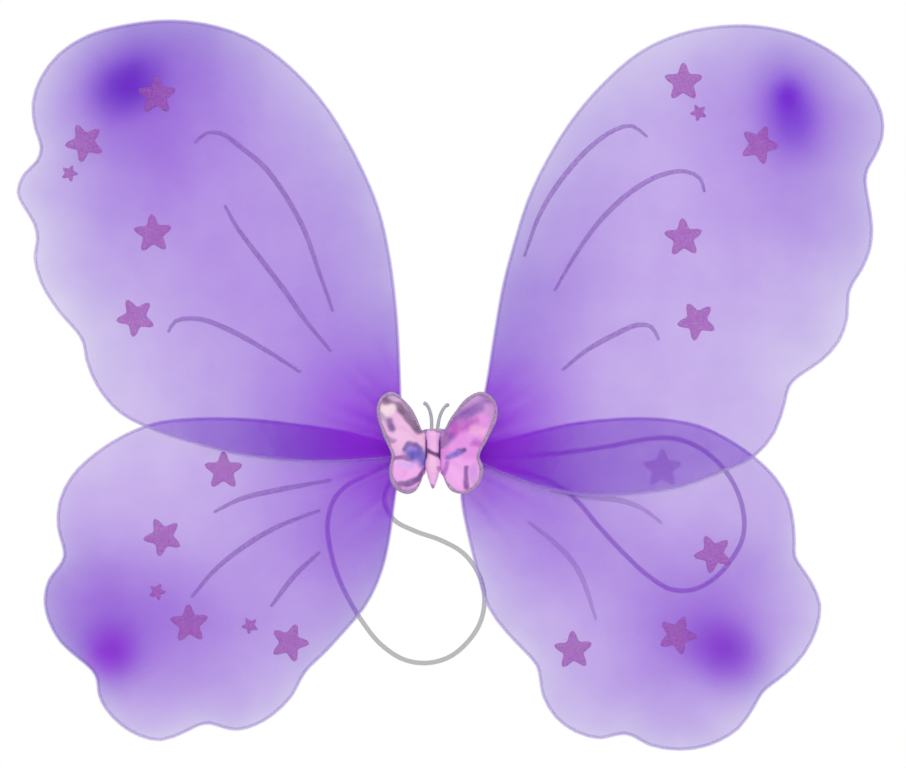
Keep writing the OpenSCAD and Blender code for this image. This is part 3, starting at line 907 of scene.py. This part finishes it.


# --- butterfly ---

# The satin's print, with painted light among its marks (three painted highlights and a painted
# shade line): colour, half width and the middle line in X and Z of each mark, in millimetres,
# painted in this order
PRINT_AND_PAINTED_LIGHT = {
    "left": [
        ((250, 186, 238), 9.0, [(-24, -12), (-10, -12)]),
        ((206, 180, 208), 2.6, [(-28, 27), (-21, 30), (-13, 21.5), (-8.5, 13.5)]),
        ((124, 90, 126), 2.0, [(-27, 26), (-21, 23.2), (-15.2, 17.2), (-9.6, 10.5)]),
        # Painted highlight: the cream patch at the left wing's top left
        ((255, 238, 228), 2.4, [(-28.5, 20), (-24.6, 22.4)]),
        ((196, 172, 198), 1.6, [(-30, 18), (-27.6, 16.8)]),
        ((138, 98, 160), 2.0, [(-24.6, 15.6), (-23.8, 11.8)]),
        ((190, 140, 192), 1.2, [(-26, 6.4), (-22.8, 5.2)]),
        ((112, 74, 160), 1.4, [(-16.6, 0.2), (-14.4, 3.2), (-11.2, 3.4), (-8.8, 0.6)]),
        ((92, 82, 188), 3.4, [(-13.6, -2.6), (-10.8, -1.2), (-8.4, -3.2), (-6.8, -5.4)]),
        # Painted highlight: a light violet glint in the blue patch
        ((132, 108, 212), 1.2, [(-13, 0.6), (-11.4, 0.4)]),
        ((150, 92, 158), 1.0, [(-25, -3.8), (-15.6, -4.6)]),
        # Painted highlight: lavender on the upper left of the lower lobe
        ((226, 190, 242), 1.5, [(-20, -7.4), (-14, -8.2)]),
        ((196, 122, 206), 1.6, [(-25, -8), (-24.6, -14), (-20.5, -19.5)]),
        # Painted shade: the dark line round the lower right of the lower lobe
        ((130, 82, 150), 1.3, [(-6.2, -9.5), (-9.4, -14.6), (-16.5, -18.4), (-19.5, -18)]),
        ((200, 160, 212), 1.4, [(-18, -21.8), (-10, -20.5)]),
    ],
    "right": [
        ((252, 188, 240), 8.0, [(8, -14), (22, -14)]),
        ((192, 148, 200), 2.6, [(7, 15.5), (13, 23), (20, 29), (27, 30)]),
        ((142, 84, 178), 3.0, [(26, 24.6), (17, 20.2), (8.6, 12.6), (4, 5)]),
        ((150, 84, 162), 1.3, [(4.6, 8.2), (2.4, 2.4)]),
        ((198, 98, 198), 2.6, [(8.2, 10.4), (14, 13.8), (20, 15)]),
        ((246, 184, 226), 2.5, [(19.5, 10.6), (27.5, 8.4)]),
        ((208, 155, 212), 2.6, [(27, 22), (30.5, 18)]),
        ((206, 116, 206), 1.7, [(19.5, 4.2), (24, 2)]),
        ((112, 72, 150), 1.2, [(12.4, -0.6), (14.8, 0.7)]),
        ((134, 108, 206), 1.5, [(5.7, -3.9), (10.1, -2.6), (12, -1.2)]),
        ((190, 112, 202), 1.3, [(4.8, -7), (3.6, -12), (3, -17)]),
        ((220, 164, 230), 1.9, [(19, -8.5), (19.8, -16)]),
        ((152, 92, 170), 1.2, [(15.2, -9), (15.7, -14), (15.2, -19)]),
    ],
    "body": [
        ((206, 136, 188), 1.2, [(-7, 11), (2, 11)]),
        ((255, 206, 226), 2.0, [(-3.4, -6), (-2.6, -10)]),
        ((206, 142, 206), 0.9, [(0.6, -9.2), (1.8, -10.2)]),
        ((112, 66, 112), 1.1, [(-4.4, -0.6), (-1.6, -2.3), (0.6, -2.4)]),
        ((182, 120, 182), 1.2, [(-2.2, -19.6), (-2.2, -20.6)]),
    ],
}
GROUND = {"left": (248, 204, 228), "right": (238, 156, 230), "body": (252, 198, 238)}


def printed(name, places):
    """The colour of the print, with its painted highlights and painted shade line, at each place,
    given in X and Z. Its marks have soft, uneven edges.
    """
    x, z = places.T / MM
    uneven = np.column_stack([
        0.5 * np.sin(0.42 * z + 1.3) + 0.25 * np.sin(0.8 * x + 0.5 * z),
        0.5 * np.sin(0.47 * x + 0.4) + 0.25 * np.sin(0.9 * z - 0.4 * x),
    ])
    places = places + uneven * MM
    colour = np.tile(rgb(*GROUND[name])[:3], (len(places), 1))
    for mark, half, line in PRINT_AND_PAINTED_LIGHT[name]:
        line = resampled(np.array(line, float) * MM, 0.2 * MM)
        share = smoothstep(1.7, 0.4, nearest(places, line) / (half * MM))[:, None]
        colour = colour * (1 - share) + np.array(rgb(*mark)[:3]) * share
    return colour


def hinge_of(side):
    joint = next(j for j in frame["joints"] if j["name"] == f"ornament_{side}_flex")
    return np.array(joint["pos_m"], float)


def make_butterfly_wing(side, mat, glitter):
    """One padded satin wing with quilted channels, and the glitter bead along its edge."""
    node = f"ornament_{side}_wing"
    hinge = hinge_of(side)
    front = min(NODES[node].data.polygons, key=lambda f: f.normal.y)
    forward = np.array(front.normal)
    out_way = np.array([-forward[1], forward[0], 0]) * SIDES[side]
    face = face_loops(node, forward)[0]
    local = np.column_stack([(face - hinge) @ out_way, face[:, 2]])
    loop = rounded_off(resampled(anticlockwise(local), 0.6 * MM, closed=True), 2)
    # The satin runs on to the body, whose roundness hides its edge
    root = loop[:, 0].min()
    loop[:, 0] -= 0.9 * MM * smoothstep(root + 0.5 * MM, root + 0.1 * MM, loop[:, 0])
    flat, triangles = filled_loop(loop, 0.55 * MM)
    ring, count = len(loop), len(flat)
    gap = nearest(flat, resampled(loop, 0.2 * MM, closed=True))
    gap[:ring] = 0
    share = (flat - flat.min(axis=0)) / (flat.max(axis=0) - flat.min(axis=0))
    puff = 1 - (1 - np.clip(gap / (6.5 * MM), 0, 1)) ** 2.2
    channels = [
        [(0.02, 0.36), (0.45, 0.36), (0.97, 0.37)],
        [(0.05, 0.46), (0.42, 0.60), (0.95, 0.66)],
        [(0.05, 0.52), (0.40, 0.78), (0.80, 0.95)],
        [(0.12, 0.34), (0.40, 0.18), (0.48, 0.02)],
    ]
    tall = share * [1, 2]
    dip = np.ones(count)
    for route in channels:
        line = resampled(np.array(route) * [1, 2], 0.01)
        dip = np.minimum(dip, 0.5 + 0.5 * smoothstep(0, 0.15, nearest(tall, line)))
    wave = 0.4 * MM * np.sin(flat[:, 1] / (5.5 * MM) + SIDES[side])
    wave *= smoothstep(0.4, 1.0, share[:, 0])
    edge_lift = 0.35 * MM
    top = edge_lift + 1.75 * MM * puff * dip + wave
    under = wave - edge_lift - 0.55 * MM * puff

    def placed(across, up, height):
        start = np.array([hinge[0], hinge[1], 0])
        flat_place = start + np.outer(across, out_way) + np.outer(up, [0, 0, 1])
        return flat_place + np.outer(height, forward)

    points = np.vstack([placed(*flat.T, top), placed(*flat.T, under)])
    a, b, c = (points[i] for i in triangles[0])
    facing = np.dot(np.cross(b - a, c - a), forward) > 0
    faces = [t if facing else t[::-1] for t in triangles]
    faces += [tuple(count + i for i in (t[::-1] if facing else t)) for t in triangles]
    for i in range(ring):
        j = (i + 1) % ring
        quad = (i, count + i, count + j, j)
        faces.append(quad if facing else quad[::-1])
    # The stored colour is the print with its painted highlights and painted shade line
    wing = piece(
        f"butterfly_{side}_wing", points, faces, mat, f"ornament_{side}", [node], "satin",
        place=points, print=printed(side, points[:, [0, 2]]),
    )

    # The bead of glitter follows the edge, and leaves the root open
    kept = [i for i in range(ring) if share[i, 0] > 0.06]
    breaks = [k for k in range(1, len(kept)) if kept[k] - kept[k - 1] > 1]
    kept = kept[breaks[0] :] + kept[: breaks[0]] if breaks else kept
    inset = loop - 0.6 * MM * outward(loop)
    line = placed(*inset[kept].T, edge_lift + 0.3 * MM + wave[kept])
    run = np.linspace(0, 1, len(line))
    width = 0.9 * MM + 0.25 * MM * np.sin(37 * run) * np.sin(11 * run + SIDES[side])
    width *= 0.35 + 0.65 * np.minimum(1, np.minimum(run, 1 - run) * 14)
    points, faces, _ = tube(line, width, 10)
    piece(
        f"butterfly_{side}_glitter_edge", points, faces, glitter, f"ornament_{side}",
        [f"ornament_{side}_edging"], "glitter_edging",
    )


def make_butterfly_body(mat):
    """Padded satin body, full in front and nearly flat behind, pulled in by seams across it."""
    node = "ornament_body"
    low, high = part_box(node)
    middle = (low.x + high.x) / 2
    heights = {}
    for v in NODES[node].data.vertices:
        z = round(v.co.z, 5)
        heights[z] = max(heights.get(z, 0), abs(v.co.x - middle))
    profile = smooth_curve(sorted((z, half) for z, half in heights.items()), 0.4 * MM)
    around = 48
    points = []
    for z, half in profile:
        pull = sum(math.exp(-(((z - seam * MM) / (0.7 * MM)) ** 2)) for seam in (4.5, -2, -13))
        fullest = 3.1 * MM * smoothstep(-15 * MM, -8 * MM, z) * smoothstep(10.5 * MM, 8 * MM, z)
        half = max(half, fullest, 0.02 * MM) * (1 - 0.07 * pull)
        for turn in 2 * math.pi * np.arange(around) / around:
            depth = half * math.sin(turn) * (0.98 if math.sin(turn) > 0 else 0.12)
            points.append((middle + half * math.cos(turn), high.y - 0.4 * MM - depth, z))
    points = np.array(points)
    faces = []
    for i in range(len(profile) - 1):
        for k in range(around):
            m = (k + 1) % around
            here, there = i * around, (i + 1) * around
            faces.append((here + k, here + m, there + m, there + k))
    colour = printed("body", points[:, [0, 2]])
    body = piece(
        "butterfly_body", points, faces, mat, "hub", [node], "satin", place=points, print=colour
    )


def make_antennae(mat):
    """Two curled feelers that lean a little to the right and end in small knots."""
    low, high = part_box("ornament_antennae")
    y = (low.y + high.y) / 2
    lean = math.radians(4)
    foot = np.array([(low.x + high.x) / 2 - 0.88 * MM, low.z + 0.17 * MM])
    way = [(1.6, -1.6), (1.6, 0), (1.8, 3), (2.4, 6.5), (3.9, 10.3), (5.6, 12.3), (6.9, 12.7)]
    all_points, all_faces = [], []
    for sign in (-1, 1):
        line = []
        for across, up in way:
            across, up = sign * across * MM, up * MM
            line.append((
                foot[0] + across * math.cos(lean) + up * math.sin(lean), y,
                foot[1] + up * math.cos(lean) - across * math.sin(lean),
            ))
        line = smooth_curve(line, 0.4 * MM)
        run = np.linspace(0, 1, len(line))
        radius = (0.95 - 0.10 * run + 0.25 * np.exp(-(((run - 0.93) / 0.05) ** 2))) * MM
        radius[-1] = 0.2 * MM
        points, faces, _ = tube(line, radius, 12)
        base = len(all_points)
        all_points += list(points)
        all_faces += [tuple(base + i for i in f) for f in faces]
    piece("butterfly_antennae", all_points, all_faces, mat, "hub", ["ornament_antennae"], "antenna")


# --- the whole ---

make_camera()
elastic = elastic_look()
make_arm_loop("left", LEFT_LOOP, elastic)
make_arm_loop("right", RIGHT_LOOP, elastic)
make_studio()

star_look = glitter_look(
    "star_glitter", rgb(168, 86, 186), rgb(190, 104, 198), rgb(226, 168, 230), 0.45, 0.65
)
vein_look = glitter_look(
    "vein_glitter", rgb(144, 90, 186), rgb(160, 106, 196), rgb(202, 166, 228), 0.25, 0.5
)
edge_look = glitter_look(
    "edge_glitter", rgb(162, 134, 174), rgb(200, 172, 208), rgb(236, 220, 240), 0.9, 1.0
)
wire = wire_look()
thread = thread_look("violet_thread", rgb(132, 84, 190), rgb(84, 44, 140), 0.5 * MM)
pale_thread = thread_look("pale_thread", rgb(214, 196, 236), rgb(160, 134, 196), 0.5 * MM)
for number, ((side, level), dye) in enumerate(DYE.items()):
    net = net_look(f"net_{side}_{level}", *dye)
    front = make_sleeve(side, level, net, 1.7 * number)
    make_glitter(side, level, "stars", star_look, "glitter", front, 0.6 * MM, 0.75 * MM, 2.2 * MM)
    make_glitter(
        side, level, "veins", vein_look, "glitter_line", front, 0.5 * MM, 0.6 * MM, 0.9 * MM
    )
    make_neck_tie(side, level, thread)
    make_gather(side, level, net)
    NODES[f"{side}_{level}_wire"].data.materials.clear()
    NODES[f"{side}_{level}_wire"].data.materials.append(wire)

make_pad(felt_look(), pale_thread)
for node, mat in (
    ("left_wire_tails", wire), ("right_wire_tails", wire), ("binding_tape", tape_look()),
    ("back_glue", glue_look()), ("front_glue", glue_look()),
    ("left_elastic_roots", elastic), ("right_elastic_roots", elastic),
    ("elastic_stitches", pale_thread),
):
    NODES[node].data.materials.clear()
    NODES[node].data.materials.append(mat)

satin = satin_look()
make_butterfly_wing("left", satin, edge_look)
make_butterfly_wing("right", satin, edge_look)
make_butterfly_body(satin)
make_antennae(antenna_look())
